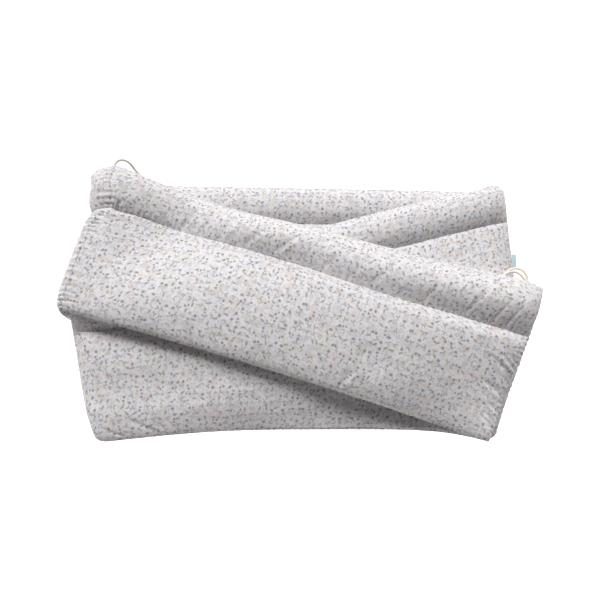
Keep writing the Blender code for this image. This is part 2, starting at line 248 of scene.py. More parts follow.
# Padded strip: one strip of printed cotton, filled with wadding and sewn into a narrow and a wide channel,
# with three hinge seams across it. It is folded back and forth on those into a stack of four panels.
PANEL_LONG, PANEL_ACROSS, NARROW_SHARE = 0.70, 0.2425, 0.278
GAP, BARE_FLOOR = 0.0020, 0.010  # clear height over a layer below, and how high that has to be
ROLL_CROWN, FLATTENED = 1.20, 1.05  # how the narrow channel stands up, and how the undersides lie flat
NARROW_UPPER, WIDE_UPPER = (2.0, 0.8), (3.2, 0.5)  # power and root of each channel's section
NARROW_LOWER, WIDE_LOWER = (3.0, 0.5), (5.0, 0.5)
END_TAPER, CORNER_FADE = 0.036, 0.060  # lengths over which an end thins, and its rounded corners fade
WRAP_SHARE = 0.14  # share of the bottom panel that climbs round the outside of the stack
HINGE_RISE = 0.150  # length over which the top panel goes up or down to the outer hinge
WRAP_HINGE_Z, WRAP_BULGE_X = (0.079, 0.099), (-0.340, -0.377)  # at the narrow and the wide edge
BELLY_IN, BELLY_AT, BELLY_HALF = 0.009, 0.5, 0.25  # how far the climbing part is drawn in, where, how widely
SHOULDER_OUT, SHOULDER_AT, SHOULDER_HALF = 0.009, 0.22, 0.10  # how far it stands out by the quilting seam
CORNER_OUT, CORNER_REACH = 0.022, 0.16  # how far its narrow edge stands out at the corner
WRAP_THIN, WRAP_THIN_REACH = 0.64, 0.22  # how thin it is pressed at the outer hinge, and up to where
SEAM_HALF = 0.0008  # half the thickness of the two cloths at a seam
LIP = 0.0020  # the flat sewn margin along the strip's two long edges
LIP_DROP, DROP_REACH = 0.0022, 0.0045  # how far that margin hangs, and over what width
ROUND_EDGE, ROUND_FROM, ROUND_OVER = 0.35, 0.72, 0.28  # how the third panel's filling thins to its wide edge
LEFT_BOW, BOW_FROM, BOW_OVER = 0.0135, 0.7, 0.3  # how far the left hinge bows out, and over what shares
# the top panel: how deep its quilting seam lies and how far round, and how it rises by the outer hinge
SEAM_DIP, DIP_NARROW, DIP_WIDE = 0.0080, 0.036, 0.020
SEAM_RISE, RISE_AT, DIP_OVER, RISE_OVER = 0.0030, 0.8, 0.2, 0.1
SLACK, SLACK_FROM, SLACK_OVER, SLACK_END = 0.16, 0.76, 0.1, 0.06  # how its narrow channel is less full there
# A panel: its corners at the start and end seam, on the narrow (top) and wide (low) edge; how those edges bow;
# over what width it bridges and smooths what it lies on; and how round the corners at its two ends are
Panel = namedtuple("Panel", "name thick start_top start_low end_top end_low bow_top bow_low flat lean"
                            " reach soften round_start round_end")
RIGHT_HINGE = ((0.387, 0.016), (0.292, -0.2225))
LEFT_HINGE = ((-0.364, 0.010), (-0.320, -0.2230))
WRAP_HINGE = ((-0.2995, 0.221), (-0.364, -0.026))
HINGE_BOW = (0.016, 0.26, 0.10)  # how far the quilting seam draws that hinge in, where across, how widely
PANELS = {
    "second": Panel("second", 0.025, (0.352, 0.208), (0.361, -0.038), *LEFT_HINGE, 0.008, 0.0, 2.0, 1.0,
                    0.045, 0.022, 0.014, 0.010),
    "third": Panel("third", 0.025, *LEFT_HINGE, *RIGHT_HINGE, 0.0, 0.018, 4.0, 1.44,
                   0.028, 0.026, 0.010, 0.001),
    "top": Panel("top", 0.028, *RIGHT_HINGE, *WRAP_HINGE, -0.008, 0.006, 2.0, 1.0,
                 0.040, 0.030, 0.001, 0.0),
    "bottom": Panel("bottom", 0.024, (-0.325, 0.216), (-0.362, -0.034), (0.314, 0.203), (0.322, -0.032),
                    0.001, 0.0, 2.0, 1.0, 0.0, 0.0, 0.0, 0.014),
}
STACK_ORDER = ("bottom", "second", "third", "top")
SEAM_DRIFT, DRIFT_FROM, DRIFT_OVER = 0.060, 0.64, 0.38  # how far the top panel's seam runs off true
HINGE_DRIFT, HINGE_FROM, HINGE_OVER = 0.034, 0.9, 0.1  # and at the outer hinge
SEWN_ABOVE = {"second": "third", "third": "top"}
JOIN_REACH = 0.055  # length over which a panel's end rises to the seam it shares with the panel above
START_TAPER = 0.022  # how steeply the top panel ends at the right hinge
SEAM_LIFT, LIFT_TAPER = 0.009, 0.030  # how far that hinge's seam is lifted, and over what length
HINGE_FULL, HINGE_TAPER = 0.995, 0.006  # how full the outer skin is at the outer hinge, how soon it fills
WRAP_MATCH = 0.060  # length over which the climbing part takes the top panel's section
# the height map that the panels are stacked on: cell, corner and size, and how finely panels are put on it
CELL, MAP_LOW, MAP_SIZE, MAP_SAMPLES = 0.004, (-0.48, -0.32), (240, 160), (420, 160)
LIFT_REACH, LIFT_SOFTEN = 0.016, 0.008  # how a panel is lifted off a ridge that would cut into it


def widened(height, reach):
    """The height map with each height carried outwards by reach."""
    steps = int(round(reach / CELL))
    wide = np.pad(height, steps, mode="edge")
    best = height.copy()
    for dy in range(-steps, steps + 1):
        for dx in range(-steps, steps + 1):
            if dx * dx + dy * dy <= steps * steps:
                rows = slice(steps + dy, steps + dy + height.shape[0])
                cols = slice(steps + dx, steps + dx + height.shape[1])
                best = np.maximum(best, wide[rows, cols])
    return best


def softened(height, soften):
    """The height map smoothed by a bell of that width."""
    width = int(3 * soften / CELL)
    bell = np.exp(-0.5 * (np.arange(-width, width + 1) * CELL / soften) ** 2)
    bell /= bell.sum()
    for axis in (0, 1):
        height = np.apply_along_axis(
            lambda line: np.convolve(np.pad(line, width, mode="edge"), bell, "valid"), axis, height)
    return height


def spread(height, reach, soften):
    """What a panel lies on, bridged and smoothed as padding does it, and no lower than the layers below."""
    base = softened(widened(height, reach), soften)
    for _ in range(2):
        base += softened(widened(np.maximum(height - base, 0), LIFT_REACH), LIFT_SOFTEN)
    return base


def read_map(height, x, y):
    """Heights at plan positions, between the map's cells."""
    col = np.clip((x - MAP_LOW[0]) / CELL, 0, MAP_SIZE[0] - 1.001)
    row = np.clip((y - MAP_LOW[1]) / CELL, 0, MAP_SIZE[1] - 1.001)
    c, r = col.astype(int), row.astype(int)
    u, v = col - c, row - r
    near = height[r, c] * (1 - u) + height[r, c + 1] * u
    far = height[r + 1, c] * (1 - u) + height[r + 1, c + 1] * u
    return near * (1 - v) + far * v


def lens(share, power, root):
    """A channel's section: 0 at its two seams and 1 at its crown, flatter for a higher power."""
    return np.clip(1 - np.abs(2 * share - 1) ** power, 0, 1) ** root


def smooth(x):
    """0 below 0, 1 above 1, and an even climb between them."""
    x = np.clip(x, 0, 1)
    return x * x * (3 - 2 * x)


def channel_halves(t):
    """Upper and lower half thickness across a panel, as shares of half its thickness."""
    narrow = t < NARROW_SHARE
    lip = LIP / PANEL_ACROSS
    across = np.clip(np.where(narrow, (t - lip) / (NARROW_SHARE - lip),
                              (t - NARROW_SHARE) / (1 - NARROW_SHARE - lip)), 0, 1)
    upper = np.where(narrow, (2 * ROLL_CROWN - 1) * lens(across, *NARROW_UPPER), lens(across, *WIDE_UPPER))
    lower = FLATTENED * np.where(narrow, lens(across, *NARROW_LOWER), lens(across, *WIDE_LOWER))
    return upper, np.minimum(1, lower)


def taper(distance, length=END_TAPER):
    """Share of the full thickness at a distance from an end seam: a quarter of an ellipse."""
    return np.sqrt(np.clip(1 - (1 - np.clip(distance / length, 0, 1)) ** 2, 0, 1))


def corner_pull(t, radius):
    """How far a rounded corner draws an end back, across the panel."""
    inward = np.minimum(t, 1 - t) * PANEL_ACROSS
    return radius * (1 - np.sqrt(np.clip(1 - np.clip(1 - inward / max(radius, 1e-9), 0, 1) ** 2, 0, 1)))


def drifted(t, drift):
    """Places across a panel when its quilting seam lies off true by a share of the width."""
    seam = NARROW_SHARE + drift
    return np.where(t < NARROW_SHARE, t * seam / NARROW_SHARE, 1 - (1 - t) * (1 - seam) / (1 - NARROW_SHARE))


def plan(panel, s, t):
    """Plan positions on a panel, s along it and t across it."""
    if panel.name == "top":
        drift = SEAM_DRIFT * smooth((DRIFT_FROM - s) / DRIFT_OVER)
        t = drifted(t, drift + HINGE_DRIFT * smooth((s - HINGE_FROM) / HINGE_OVER))
    bow = LEFT_BOW * (1 - np.abs(2 * t - 1) ** 3)
    corner = [np.array(c)[:, None, None] for c in panel[2:6]]
    point = corner[0] * (1 - s) * (1 - t) + corner[1] * (1 - s) * t
    point = point + corner[2] * s * (1 - t) + corner[3] * s * t
    for end, share in ((panel.start_top, 1 - s), (panel.end_top, s)):
        if end == LEFT_HINGE[0]:
            point[0] -= bow * smooth((share - BOW_FROM) / BOW_OVER)
    low_bow = 1 - np.abs(2 * s**panel.lean - 1) ** panel.flat
    point[1] += 4 * s * (1 - s) * panel.bow_top * (1 - t) + low_bow * panel.bow_low * t
    inward = math.copysign(1, panel.end_top[0] - panel.start_top[0])
    for from_end, radius, way in ((s, panel.round_start, inward), (1 - s, panel.round_end, -inward)):
        point[0] += way * corner_pull(t, radius) * smooth(1 - from_end * PANEL_LONG / CORNER_FADE)
    return point


def lengths(panel, t):
    """Length of a panel along the lines of constant t."""
    return np.hypot(*(plan(panel, np.ones_like(t), t) - plan(panel, np.zeros_like(t), t)))


def wrap_hinge_z(t):
    """Height of the hinge between the top panel and the bottom one, across the strip."""
    return WRAP_HINGE_Z[0] + (WRAP_HINGE_Z[1] - WRAP_HINGE_Z[0]) * t


def hinge_bow(t):
    """How far the hinge between the top panel and the bottom one is drawn in, across the strip."""
    depth, middle, width = HINGE_BOW
    return depth * np.exp(-(((t - middle) / width) ** 2))


def wrap_path(s, t):
    """The bottom panel's middle surface: down from the top panel's hinge, then along the floor."""
    panel = PANELS["bottom"]
    floor_z = panel.thick / 2
    t = drifted(t, HINGE_DRIFT * smooth(1 - s / WRAP_SHARE))
    along = np.clip((s - WRAP_SHARE) / (1 - WRAP_SHARE), 0, 1)
    on_floor = np.array([*plan(panel, along, t), np.full_like(s * t, floor_z)])
    (hx, hy), (lx, ly) = WRAP_HINGE
    start = np.array([hx + (lx - hx) * t + hinge_bow(t), hy + (ly - hy) * t, wrap_hinge_z(t)]) + 0 * on_floor
    landing = np.array([*plan(panel, 0 * s, t), floor_z + 0 * s * t])
    belly = WRAP_BULGE_X[0] + (WRAP_BULGE_X[1] - WRAP_BULGE_X[0]) * t
    belly = belly - CORNER_OUT * smooth(1 - t / CORNER_REACH)
    belly = belly + BELLY_IN * np.exp(-(((t - BELLY_AT) / BELLY_HALF) ** 2))
    belly = belly - SHOULDER_OUT * np.exp(-(((t - SHOULDER_AT) / SHOULDER_HALF) ** 2)) + 0 * s
    out_high, out_low = start.copy(), landing.copy()
    out_high[0], out_low[0] = belly, belly
    u = np.clip(s / WRAP_SHARE, 0, 1) + 0 * t
    curve = (1 - u) ** 3 * start + 3 * (1 - u) ** 2 * u * out_high
    curve = curve + 3 * (1 - u) * u**2 * out_low + u**3 * landing
    return np.where(s < WRAP_SHARE, curve, on_floor)


def bottom_skins(s, t):
    """Upper and lower skins of the bottom panel, offset along the normals of its middle surface."""
    panel = PANELS["bottom"]
    mid = wrap_path(s, t)
    step = 1e-4
    ahead = wrap_path(np.minimum(s + step, 1), t) - wrap_path(np.maximum(s - step, 0), t)
    length = np.hypot(ahead[0], ahead[2])
    normal = np.array([-ahead[2] / length, 0 * length, ahead[0] / length])
    long = lengths(panel, t) / (1 - WRAP_SHARE)
    pressed = WRAP_THIN + (1 - WRAP_THIN) * smooth(s / WRAP_THIN_REACH)
    inner_share, outer_share = channel_halves(t)
    top_share = inner_share * PANELS["top"].thick / panel.thick
    outer_share = outer_share + (top_share - outer_share) * smooth(1 - s * long / WRAP_MATCH)
    far = taper((1 - s) * long)
    inner = np.maximum(inner_share * taper(s * long) * far * pressed * panel.thick / 2, SEAM_HALF)
    near = HINGE_FULL + (1 - HINGE_FULL) * taper(s * long, HINGE_TAPER)
    full = pressed + (1 - pressed) * smooth(1 - s * long / WRAP_MATCH)
    outer = np.maximum(outer_share * near * far * full * panel.thick / 2, SEAM_HALF)
    return mid + normal * inner, mid - normal * outer


def resting_skins(panel, base, s, t, above=None):
    """Upper and lower skins of a panel on the height map base, its end sewn to the panel on the map above."""
    x, y = plan(panel, s, t)
    rest = read_map(base, x, y)
    rest = rest + GAP * smooth(rest / BARE_FLOOR)
    long = lengths(panel, t)
    start_thin, end_thin = taper(s * long), taper((1 - s) * long)
    upper_start = start_thin
    half = panel.thick / 2
    mid = rest + half
    if panel.name == "second":  # its far end is sewn to the panel above it
        mid += half * (1 - end_thin)
    if panel.name == "third":  # its near end is sewn to the panel below it, its far end to the one above
        mid += half * (start_thin - 1) + half * (1 - end_thin)
        mid += SEAM_LIFT * (1 - taper((1 - s) * long, LIFT_TAPER))
    if panel.name == "top":  # its near end is sewn to the panel below it, its far end to the climbing one
        mid += half * (start_thin - 1) + SEAM_LIFT * (1 - taper(s * long, LIFT_TAPER))
        hinge_t = drifted(t, HINGE_DRIFT)
        mid = mid + (wrap_hinge_z(hinge_t) - mid) * smooth(1 - (1 - s) * long / HINGE_RISE)
        x = x + hinge_bow(hinge_t) * smooth(1 - (1 - s) * long / END_TAPER)
        upper_start = taper(s * long, START_TAPER)
        from_seam = (t - NARROW_SHARE) * PANEL_ACROSS
        near_seam = np.where(
            t < NARROW_SHARE, smooth(1 + from_seam / DIP_NARROW), smooth(1 - from_seam / DIP_WIDE))
        dip = SEAM_DIP * smooth((RISE_AT - s) / DIP_OVER) - SEAM_RISE * smooth((s - RISE_AT) / RISE_OVER)
        mid = mid - dip * near_seam * start_thin
    mid = mid - LIP_DROP * smooth(1 - np.minimum(t, 1 - t) * PANEL_ACROSS / DROP_REACH)
    upper_share, lower_share = channel_halves(t)
    if panel.name == "third":
        upper_share = upper_share * (1 - ROUND_EDGE * smooth((t - ROUND_FROM) / ROUND_OVER) ** 2)
    if panel.name == "top":
        slack = SLACK * smooth((s - SLACK_FROM) / SLACK_OVER) * smooth((1 - s) / SLACK_END)
        upper_share = upper_share * np.where(t < NARROW_SHARE, 1 - slack, 1)
    lower = np.maximum(lower_share * start_thin * end_thin * half, SEAM_HALF)
    if panel.name == "top":  # its upper skin stays nearly full where it goes over into the climbing panel
        end_thin = HINGE_FULL + (1 - HINGE_FULL) * taper((1 - s) * long, HINGE_TAPER)
    upper = np.maximum(upper_share * upper_start * end_thin * half, SEAM_HALF)
    if above is not None:
        under = read_map(above, x, y)
        under = under + GAP * smooth(under / BARE_FLOOR) - upper + SEAM_HALF
        if panel.name == "third":
            under = under + SEAM_LIFT * (1 - taper((1 - s) * long, LIFT_TAPER))
        mid = mid + np.maximum(under - mid, 0) * smooth(1 - (1 - s) * long / JOIN_REACH)
    return np.array([x, y, mid + upper]), np.array([x, y, np.maximum(mid - lower, np.minimum(rest, mid))])


def stack():
    """The base that each panel lies on, from the floor up."""
    height = np.zeros(MAP_SIZE[::-1])
    s = np.linspace(0, 1, MAP_SAMPLES[0])[:, None]
    t = np.linspace(0, 1, MAP_SAMPLES[1])[None, :]
    bases = {}
    for name in STACK_ORDER:
        panel = PANELS[name]
        if name == "bottom":
            skins = bottom_skins(s, t)
        else:
            bases[name] = spread(height, panel.reach, panel.soften)
            skins = resting_skins(panel, bases[name], s, t)
        for skin in skins:
            skin = skin[:, s[:, 0] > WRAP_SHARE] if name == "bottom" else skin
            col = ((skin[0] - MAP_LOW[0]) / CELL + 0.5).astype(int)
            row = ((skin[1] - MAP_LOW[1]) / CELL + 0.5).astype(int)
            np.maximum.at(height, (row, col), skin[2])
    return bases


def spaced(count, ends):
    """count + 1 values from 0 to 1, closer together near both ends for a higher ends."""
    u = np.linspace(0, 1, count + 1)
    return u - ends * np.sin(2 * math.pi * u) / (2 * math.pi)


ROWS, NARROW_COLUMNS, WIDE_COLUMNS = 330, 40, 104
ROW_CROWDING, NARROW_CROWDING, WIDE_CROWDING = 0.35, 0.5, 0.55  # how much closer they lie by the seams
GATHER_PITCH = 0.0082  # from one little fold at a seam to the next
KNOT_SHARE = 0.9  # share of the pitch from one random value to the next along a seam
GATHER_LEAN, GATHER_SHIFT = 0.30, 0.22  # how far folds lean, and how far off their place they are, at most
GATHER_REACHES, GATHER_DEPTHS = (0.35, 1.35), (0.35, 1.1)  # from the least to the most, as shares
GATHER_LEVEL, GATHER_SHARP = 0.35, 2.4  # height between the folds, and how narrow they are
SEAM_HOLD = 0.0022  # nothing moves nearer than this to a seam
EDGE_GATHERS = (0.0006, 0.009)  # depth and reach of the puckers along the long edges
CHANNEL_GATHERS = (0.0012, 0.012)  # the same along the quilting seam
SWELL_WAVES, SWELL = (0.060, 0.150), 0.0009  # lengths and height of the filling's unevenness
LUMP_WAVES, LUMP = (0.022, 0.040), 0.00028

# The folds that fan out of the end seams: panel, skin (0 upper, 1 lower), end (0 start, 1 end), depth, reach,
# from where to where across the panel, seed and pitch. Rows with the same seed run on over the outer hinge.
Fan = namedtuple("Fan", "panel skin end depth reach low high seed pitch")
FANS = (
    Fan("top", 0, 0, 0.0015, 0.012, 0.0, 0.25, 1, 0.0082),
    Fan("top", 0, 0, 0.0014, 0.026, 0.075, 0.25, 2, 0.0082),
    Fan("top", 0, 1, 0.0030, 0.012, -0.02, 0.078, 3, 0.0070),
    Fan("bottom", 1, 0, 0.0036, 0.016, -0.02, 0.078, 3, 0.0070),
    Fan("top", 0, 1, 0.0060, 0.012, 0.066, 0.136, 10, 0.0070),
    Fan("bottom", 1, 0, 0.0072, 0.018, 0.066, 0.136, 10, 0.0070),
    Fan("top", 0, 1, 0.0020, 0.013, 0.125, 0.25, 4, 0.0076),
    Fan("bottom", 1, 0, 0.0028, 0.016, 0.125, 0.25, 4, 0.0076),
    Fan("third", 1, 1, 0.0030, 0.040, 0.05, 0.26, 5, 0.0080),
    Fan("third", 0, 0, 0.0005, 0.010, 0.0, 0.25, 6, 0.0082),
    Fan("second", 0, 0, 0.0005, 0.008, 0.0, 0.25, 7, 0.0082),
    Fan("second", 1, 1, 0.0007, 0.012, 0.0, 0.25, 8, 0.0082),
    Fan("bottom", 0, 1, 0.0006, 0.010, 0.0, 0.25, 9, 0.0082),
)
RUN_OVER = (3, 4, 10)  # seeds of the fans that run on over the outer hinge
FAN_EDGE = 0.014  # how softly a fan begins and ends across the panel

# Creases and drags in the upper skins, each a soft trough, or a ridge where its depth is below 0: where it
# starts and where it ends, as metres from the panel's start seam and from its narrow edge, depth, half width
CREASES = {
    "top": (
        # long drags out of the right hinge seam
        (0.060, 0.112, 0.006, 0.136, 0.0022, 0.0019), (0.050, 0.111, 0.006, 0.130, -0.0014, 0.0015),
        (0.042, 0.106, 0.004, 0.124, 0.0018, 0.0016), (0.030, 0.103, 0.004, 0.116, 0.0014, 0.0016),
        (0.034, 0.138, 0.004, 0.146, 0.0012, 0.0017), (0.054, 0.152, 0.004, 0.172, 0.0020, 0.0021),
        (0.040, 0.164, 0.006, 0.177, -0.0014, 0.0019), (0.040, 0.156, 0.004, 0.166, 0.0012, 0.0016),
        (0.026, 0.186, 0.003, 0.195, 0.0014, 0.0018), (0.030, 0.208, 0.003, 0.222, 0.0020, 0.0020),
        (0.024, 0.216, 0.002, 0.229, 0.0018, 0.0017), (0.026, 0.201, 0.003, 0.213, 0.0014, 0.0017),
        # drags over the narrow channel, slanting away from the quilting seam
        (0.580, 0.064, 0.567, 0.020, 0.0024, 0.0050), (0.572, 0.064, 0.561, 0.028, -0.0009, 0.0022),
        (0.548, 0.064, 0.541, 0.034, 0.0014, 0.0034), (0.516, 0.064, 0.497, 0.012, 0.0026, 0.0054),
        (0.504, 0.064, 0.489, 0.018, -0.0010, 0.0024), (0.472, 0.064, 0.438, 0.016, 0.0019, 0.0044),
        (0.462, 0.064, 0.432, 0.020, -0.0009, 0.0022), (0.424, 0.064, 0.388, 0.022, 0.0019, 0.0042),
        (0.414, 0.064, 0.382, 0.026, -0.0009, 0.0022), (0.340, 0.064, 0.318, 0.034, 0.0014, 0.0036),
        (0.296, 0.064, 0.282, 0.040, 0.0011, 0.0030), (0.262, 0.064, 0.236, 0.028, 0.0014, 0.0038),
        (0.214, 0.064, 0.200, 0.040, 0.0010, 0.0028), (0.176, 0.064, 0.160, 0.032, 0.0013, 0.0032),
        (0.110, 0.064, 0.090, 0.028, 0.0014, 0.0034), (0.066, 0.064, 0.052, 0.034, 0.0013, 0.0026),
        (0.044, 0.064, 0.032, 0.038, 0.0014, 0.0024),
        # the dimple where the quilting seam meets the outer hinge
        (0.690, 0.058, 0.676, 0.057, 0.0024, 0.0036),
        # a tuck in the wide edge, and the shallow dent above it
        (0.246, 0.238, 0.238, 0.206, 0.0018, 0.0034), (0.236, 0.238, 0.230, 0.210, -0.0008, 0.0030),
        (0.236, 0.168, 0.190, 0.192, 0.0022, 0.0170),
    ),
    "third": (
        # a pinched ridge, and short wrinkles over its wide edge
        (0.364, 0.172, 0.342, 0.240, -0.0026, 0.0028), (0.370, 0.176, 0.349, 0.240, 0.0009, 0.0040),
        (0.022, 0.222, 0.046, 0.238, 0.0016, 0.0026), (0.066, 0.212, 0.100, 0.236, 0.0019, 0.0044),
        (0.084, 0.218, 0.112, 0.238, -0.0010, 0.0026), (0.118, 0.214, 0.128, 0.236, 0.0010, 0.0036),
        (0.226, 0.216, 0.232, 0.238, 0.0010, 0.0040),
    ),
    "second": (
        (0.150, 0.066, 0.140, 0.036, 0.0010, 0.0034), (0.052, 0.064, 0.044, 0.030, 0.0009, 0.0034),
    ),
}
CREASE_SLOPE, CREASE_LEFT = 2.5, 0.35  # how fast a crease fades at its ends, and what share is left there

# Past the right hinge, the third panel's filling pushes its end out beyond the seam: how far at the narrow and
# the wide edge, how soon it is at its most, and the width along both edges over which it comes in
END_BULGE, BULGE_SOON, BULGE_EDGE = (0.000, 0.0135), 1.3, 0.012

bases = stack()
grid_s = spaced(ROWS, ROW_CROWDING)[:, None]
wide_t = NARROW_SHARE + spaced(WIDE_COLUMNS, WIDE_CROWDING)[1:] * (1 - NARROW_SHARE)
grid_t = np.concatenate([spaced(NARROW_COLUMNS, NARROW_CROWDING) * NARROW_SHARE, wide_t])[None, :]
PADDING_SEED = 7
rng = np.random.default_rng(PADDING_SEED)


def outward_normals(skin, side):
    """Unit normals of a grid of points, on the side given by the sign."""
    along = np.gradient(skin, axis=1)
    across = np.gradient(skin, axis=2)
    normal = side * np.cross(along, across, axis=0)
    return normal / np.maximum(np.linalg.norm(normal, axis=0), 1e-12)


def cloth_uv(skin, number):
    """Distances over a skin in metres: along it from its middle row, and across it from the channel seam."""
    along = np.zeros(skin.shape[1:])
    along[1:] = np.cumsum(np.linalg.norm(np.diff(skin, axis=1), axis=0), axis=0)
    along -= along[ROWS // 2]
    across = np.zeros(skin.shape[1:])
    across[:, 1:] = np.cumsum(np.linalg.norm(np.diff(skin, axis=2), axis=0), axis=1)
    across -= across[:, NARROW_COLUMNS:NARROW_COLUMNS + 1]
    return np.array([along + number * UV_STEP, across])


def gathers(out, along, depth, reach, seed, pitch=GATHER_PITCH):
    """Heights of the uneven little folds that leave a seam, at distances out from it and along it."""
    chance = np.random.default_rng(seed)
    knots = np.arange(-0.05, PANEL_LONG + 0.1, KNOT_SHARE * pitch)

    def uneven(low, high, place):
        return np.interp(place, knots, chance.uniform(low, high, len(knots)))

    place = along + out * uneven(-GATHER_LEAN, GATHER_LEAN, along)
    fold = 0.5 + 0.5 * np.cos(2 * math.pi * (place / pitch + uneven(-GATHER_SHIFT, GATHER_SHIFT, place)))
    fade = np.exp(-(out / (reach * uneven(*GATHER_REACHES, place))) ** 2)
    return depth * uneven(*GATHER_DEPTHS, place) * (GATHER_LEVEL - fold**GATHER_SHARP) * fade


def unevenness(along, across, waves, height, count=9):
    """A sum of long waves in all directions, as uneven filling gives."""
    total = np.zeros(np.broadcast(along, across).shape)
    for _ in range(count):
        heading, phase = rng.uniform(0, math.pi), rng.uniform(0, 2 * math.pi)
        wave = rng.uniform(*waves)
        total += np.sin(2 * math.pi * (along * math.cos(heading) + across * math.sin(heading)) / wave + phase)
    return height * total / math.sqrt(count / 2) / 2


def crease(along, across, ends, depth, width):
    """Height of one soft trough from one of its ends to the other, fading at both."""
    start = np.array(ends[:2])
    line = np.array(ends[2:]) - start
    share = ((along - start[0]) * line[0] + (across - start[1]) * line[1]) / (line @ line)
    from_line = np.hypot(along - start[0] - share * line[0], across - start[1] - share * line[1])
    fade = smooth(np.minimum(share, 1 - share) * CREASE_SLOPE + CREASE_LEFT)
    return -depth * fade * np.exp(-(from_line / width) ** 2)


def relief(name, skin, along, across, long):
    """How far one skin of a panel stands out of its smooth shape, by gathers, creases and uneven filling."""
    from_seam = np.abs(across - NARROW_SHARE * PANEL_ACROSS)
    height = unevenness(along, across, SWELL_WAVES, SWELL) + unevenness(along, across, LUMP_WAVES, LUMP)
    height += gathers(from_seam, along, *CHANNEL_GATHERS, rng.integers(1000))
    for from_edge in (across, PANEL_ACROSS - across):
        height += gathers(from_edge, along, *EDGE_GATHERS, rng.integers(1000))
    height *= smooth(np.minimum(along, long - along) / SEAM_HOLD)
    for fan in FANS:
        if (fan.panel, fan.skin) == (name, skin):
            from_end = long - along if fan.end else along
            window = smooth((across - fan.low) / FAN_EDGE) * smooth((fan.high - across) / FAN_EDGE)
            held = 1 if fan.seed in RUN_OVER else smooth(from_end / SEAM_HOLD)
            height += window * held * gathers(from_end, across, *fan[3:5], fan.seed, fan.pitch)
    if skin == 0:
        for *ends, depth, width in CREASES.get(name, ()):
            height += crease(along, across, ends, depth, width)
    return height * smooth(np.minimum(from_seam, np.minimum(across, PANEL_ACROSS - across)) / SEAM_HOLD)


def bulge_out(skin, t, thin):
    """Pushes the third panel's outer skin out past the hinge seam, most at half its height."""
    push = END_BULGE[0] + (END_BULGE[1] - END_BULGE[0]) * smooth(BULGE_SOON * t)
    edge_hold = smooth(np.minimum(t, 1 - t) * PANEL_ACROSS / BULGE_EDGE)
    skin[0] += push * edge_hold * 4 * thin * (1 - thin)


# The print: small marks strewn over the cloth, one to a cell of an uneven net. pitch is the net's mesh in
# millimetres, net tells the nets apart, low and high say which of a net's random draws get this mark, size is
# the mark's half size and soft the width of its edge in millimetres, and it varies between the two inks.
Motif = namedtuple("Motif", "shape pitch net low high size soft inks strength")
MOTIFS = (
    Motif("blot", 15, 1, 0.00, 0.60, 4.4, 2.8, ("CBD2D6", "D0D6D8"), 0.60),
    Motif("blot", 18, 2, 0.00, 0.55, 5.0, 3.0, ("D5CDC0", "D8D2C8"), 0.60),
    Motif("blot", 18, 3, 0.00, 0.55, 5.0, 3.0, ("D3C9CE", "CDC7D1"), 0.55),
    Motif("leaf", 6.4, 5, 0.00, 0.45, 2.5, 1.0, ("B6B3AA", "BCB2AA"), 0.52),
    Motif("leaf", 6.4, 5, 0.45, 0.78, 2.3, 1.0, ("ACAEB5", "B0AAB1"), 0.52),
    Motif("dot", 6.4, 5, 0.78, 1.00, 1.4, 0.9, ("A8A19E", "B3A49C"), 0.50),
    Motif("leaves", 10.2, 4, 0.00, 0.17, 3.6, 1.1, ("8D9497", "9B9D92"), 0.70),
    Motif("ring", 10.2, 4, 0.17, 0.26, 2.7, 1.0, ("8F9297", "9D999B"), 0.66),
    Motif("leaf", 10.2, 4, 0.26, 0.44, 3.8, 1.1, ("797E85", "898E8A"), 0.70),
    Motif("sprig", 10.2, 4, 0.44, 0.62, 3.6, 1.1, ("77818B", "889091"), 0.72),
    Motif("flower", 10.2, 4, 0.62, 0.70, 2.8, 1.1, ("A68C7D", "B0998C"), 0.66),
    Motif("dots", 10.2, 4, 0.70, 0.85, 1.9, 1.1, ("6E7179", "7A7C84"), 0.76),
    Motif("dot", 10.2, 4, 0.85, 1.00, 2.1, 1.1, ("6E7179", "7B7C83"), 0.76),
)
UNEVEN = 0.72  # how unevenly the marks lie, from 0 in rows to 1 at random
GROUND = "E0DEE0"
PER_METRE = 1000  # the marks are in millimetres
NET_SHIFT = (3.7, 5.1)  # in meshes, from one net to the next
THREAD_PITCH = 0.0006  # woven finer than this, drawn this coarse to show
STITCH, STITCH_PITCH, STITCH_SHARE = 0.0005, 0.0030, 0.78  # quilting thread: half width, pitch, share
UV_STEP = PANEL_LONG + 0.0137  # from one panel's cloth to the next along the roll
BACK_SHIFT = 0.37  # how much further along the roll, in those steps, the lower cloth is cut


